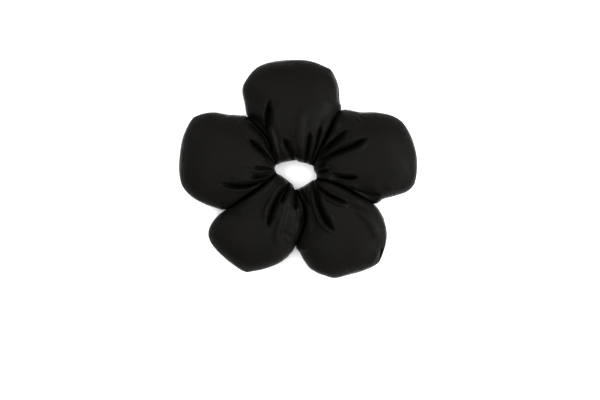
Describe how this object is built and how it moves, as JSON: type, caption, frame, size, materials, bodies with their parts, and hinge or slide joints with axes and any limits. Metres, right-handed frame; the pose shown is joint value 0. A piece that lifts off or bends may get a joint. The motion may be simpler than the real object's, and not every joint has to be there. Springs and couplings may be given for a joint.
{
  "type": "flower scrunchie",
  "caption": "Flower-shaped hair tie: padded satin petals gathered on a ring of flat elastic, around an open middle for the hair.",
  "frame": {"origin": "middle of the outline, on the plane that the flower lies on", "axes": "+Z out of the front of the flower, +Y towards petal 1, +X to the right when seen from the front"},
  "size_m": [0.1499, 0.1394, 0.029],
  "materials": {
    "black_satin": "woven polyester satin, low sheen",
    "black_satin_gathered": "woven polyester satin, gathered",
    "polyester_wadding": "loose fibre",
    "black_knitted_elastic": "knitted, ribbed",
    "black_thread": "twisted polyester"
  },
  "bodies": {
    "loop_1": {"elastic_1": "black_knitted_elastic", "elastic_bar_tack_1": "black_thread", "elastic_bar_tack_2": "black_thread", "neck_1_2": "black_satin_gathered"},
    "loop_2": {"elastic_2": "black_knitted_elastic", "neck_2_3": "black_satin_gathered"},
    "loop_3": {"elastic_3": "black_knitted_elastic", "neck_3_4": "black_satin_gathered"},
    "loop_4": {"elastic_4": "black_knitted_elastic", "neck_4_5": "black_satin_gathered"},
    "loop_5": {"elastic_5": "black_knitted_elastic", "neck_5_1": "black_satin_gathered"},
    "petal_1": {"petal_1_front": "black_satin", "petal_1_back": "black_satin", "petal_1_wadding": "polyester_wadding"},
    "petal_2": {"petal_2_front": "black_satin", "petal_2_back": "black_satin", "petal_2_wadding": "polyester_wadding"},
    "petal_3": {"petal_3_front": "black_satin", "petal_3_back": "black_satin", "petal_3_wadding": "polyester_wadding"},
    "petal_4": {"petal_4_front": "black_satin", "petal_4_back": "black_satin", "petal_4_wadding": "polyester_wadding"},
    "petal_5": {"petal_5_front": "black_satin", "petal_5_back": "black_satin", "petal_5_wadding": "polyester_wadding"}
  },
  "joints": [
    {"name": "stretch_1_2", "type": "slide", "parent": "loop_1", "child": "loop_2", "axis": [-0.7771, -0.6293, 0], "range_m": [0, 0.02167], "stiffness_N_per_m": 200},
    {"name": "stretch_2_3", "type": "slide", "parent": "loop_2", "child": "loop_3", "axis": [0.3584, -0.9336, 0], "range_m": [0, 0.02065], "stiffness_N_per_m": 200},
    {"name": "stretch_1_5", "type": "slide", "parent": "loop_1", "child": "loop_5", "axis": [0.8192, -0.5736, 0], "range_m": [0, 0.02167], "stiffness_N_per_m": 200},
    {"name": "stretch_5_4", "type": "slide", "parent": "loop_5", "child": "loop_4", "axis": [-0.3256, -0.9455, 0], "range_m": [0, 0.02167], "stiffness_N_per_m": 200},
    {"name": "petal_1_tilt", "type": "hinge", "parent": "loop_1", "child": "petal_1", "pos_m": [-0.00113, 0.01559, 0.0135], "axis": [0.9994, 0.0349, 0], "range_deg": [-20, 60], "stiffness_Nm_per_rad": 0.03},
    {"name": "petal_2_tilt", "type": "hinge", "parent": "loop_2", "child": "petal_2", "pos_m": [-0.01796, 0.00196, 0.0135], "axis": [0.2419, 0.9703, 0], "range_deg": [-20, 60], "stiffness_Nm_per_rad": 0.03},
    {"name": "petal_3_tilt", "type": "hinge", "parent": "loop_3", "child": "petal_3", "pos_m": [-0.01056, -0.01732, 0.0135], "axis": [-0.829, 0.5592, 0], "range_deg": [-20, 60], "stiffness_Nm_per_rad": 0.03},
    {"name": "petal_4_tilt", "type": "hinge", "parent": "loop_4", "child": "petal_4", "pos_m": [0.00957, -0.01732, 0.0135], "axis": [-0.829, -0.5592, 0], "range_deg": [-20, 60], "stiffness_Nm_per_rad": 0.03},
    {"name": "petal_5_tilt", "type": "hinge", "parent": "loop_5", "child": "petal_5", "pos_m": [0.01662, 0.00316, 0.0135], "axis": [0.309, -0.9511, 0], "range_deg": [-20, 60], "stiffness_Nm_per_rad": 0.03}
  ],
  "couplings": [
    {"joint": "stretch_2_3", "follows": "stretch_1_2", "ratio": 0.95308},
    {"joint": "stretch_1_5", "follows": "stretch_1_2", "ratio": 1},
    {"joint": "stretch_5_4", "follows": "stretch_1_2", "ratio": 1}
  ]
}
